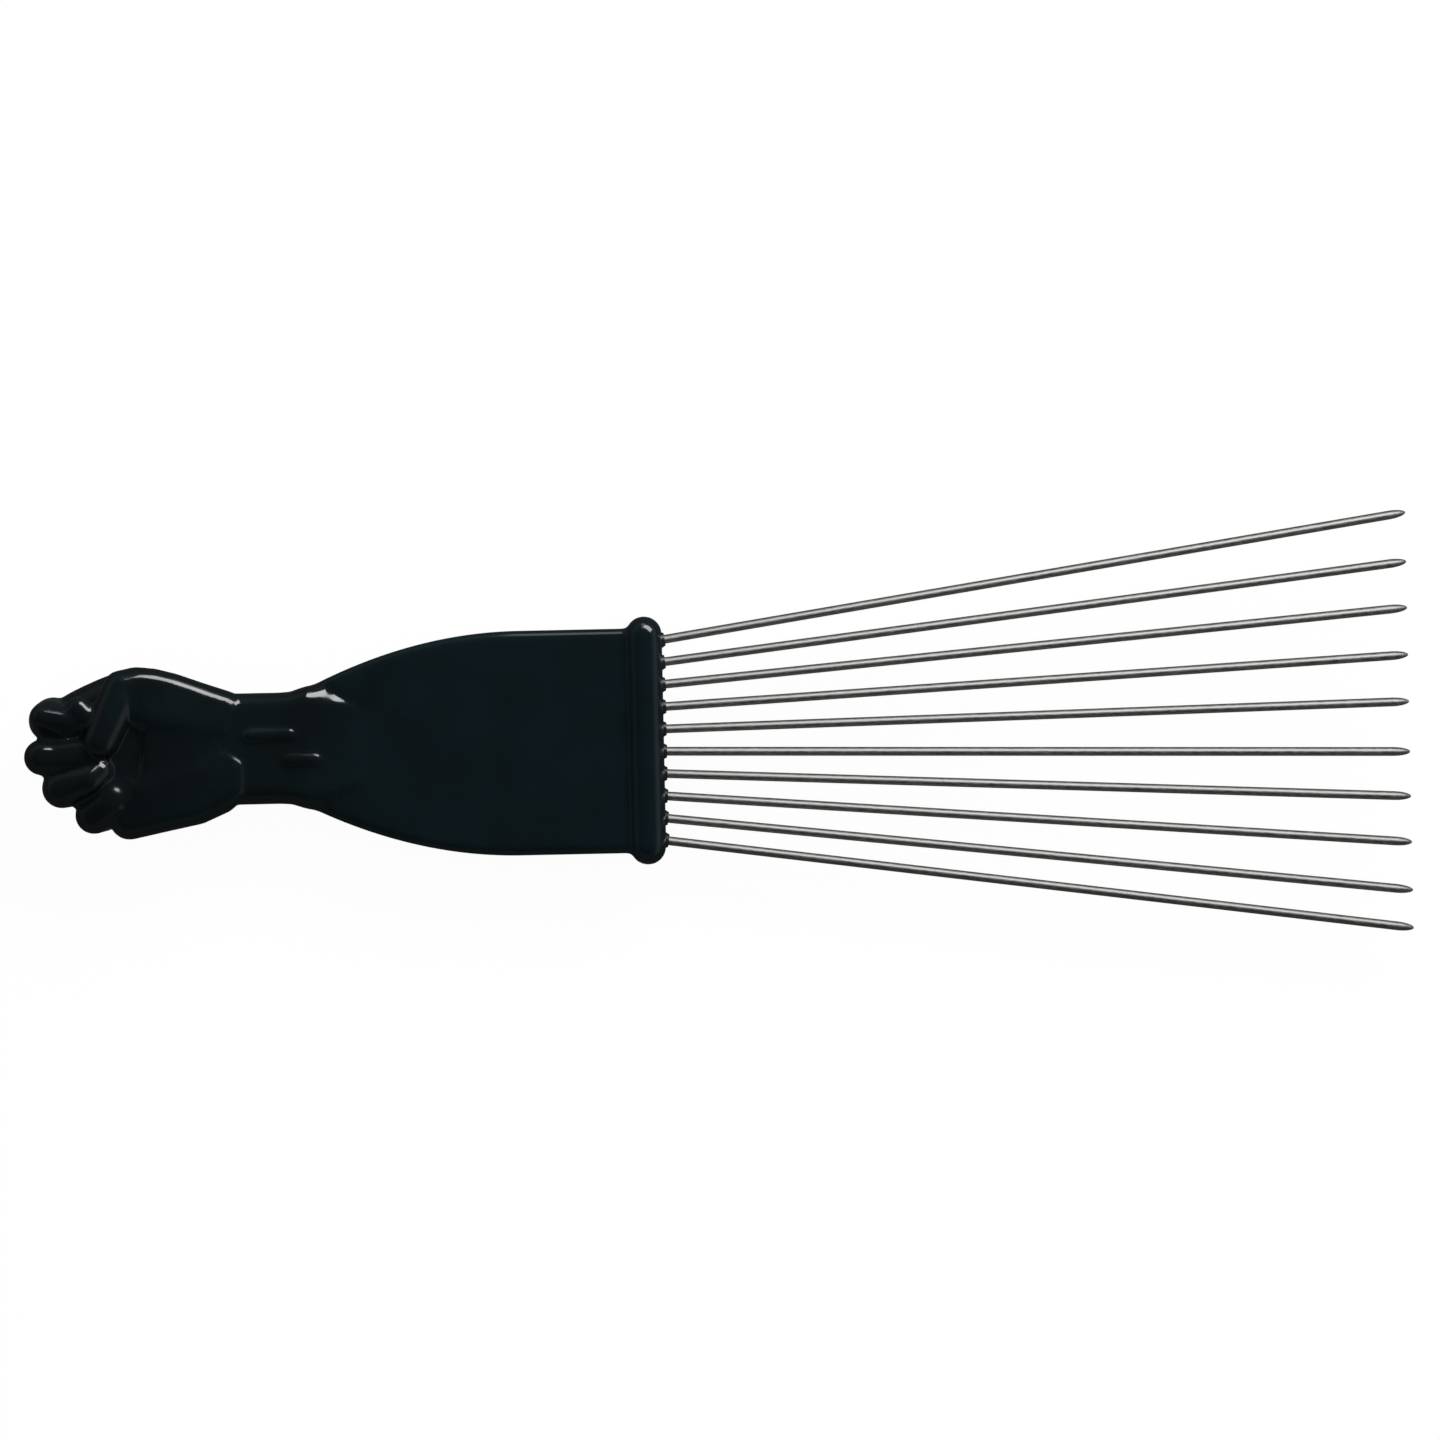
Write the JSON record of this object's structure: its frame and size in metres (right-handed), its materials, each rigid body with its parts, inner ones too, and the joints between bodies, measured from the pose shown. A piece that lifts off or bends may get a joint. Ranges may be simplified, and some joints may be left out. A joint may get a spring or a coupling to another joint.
{
  "type": "afro pick",
  "caption": "Long-toothed hair pick: a glossy moulded handle shaped as a raised fist on a flat flared body, with a fan of slender straight wire tines in its rolled mouth.",
  "frame": {"origin": "under the middle of the pick's box, at the height of the surface that it lies on, palm up", "axes": "+X along the pick from the fist to the tips of the tines, +Y to the index finger's side, +Z out of the palm"},
  "size_m": [0.24, 0.073, 0.0175],
  "materials": {
    "handle_plastic": "moulded, high gloss, black with a faint cool cast",
    "block_plastic": "moulded, satin black",
    "tine_wire": "drawn steel wire, satin, with ground and polished points"
  },
  "bodies": {
    "root": {"handle": "handle_plastic", "tine_block": "block_plastic", "tine_01": "tine_wire", "tine_02": "tine_wire", "tine_03": "tine_wire", "tine_04": "tine_wire", "tine_05": "tine_wire", "tine_06": "tine_wire", "tine_07": "tine_wire", "tine_08": "tine_wire", "tine_09": "tine_wire", "tine_10": "tine_wire"}
  },
  "joints": []
}
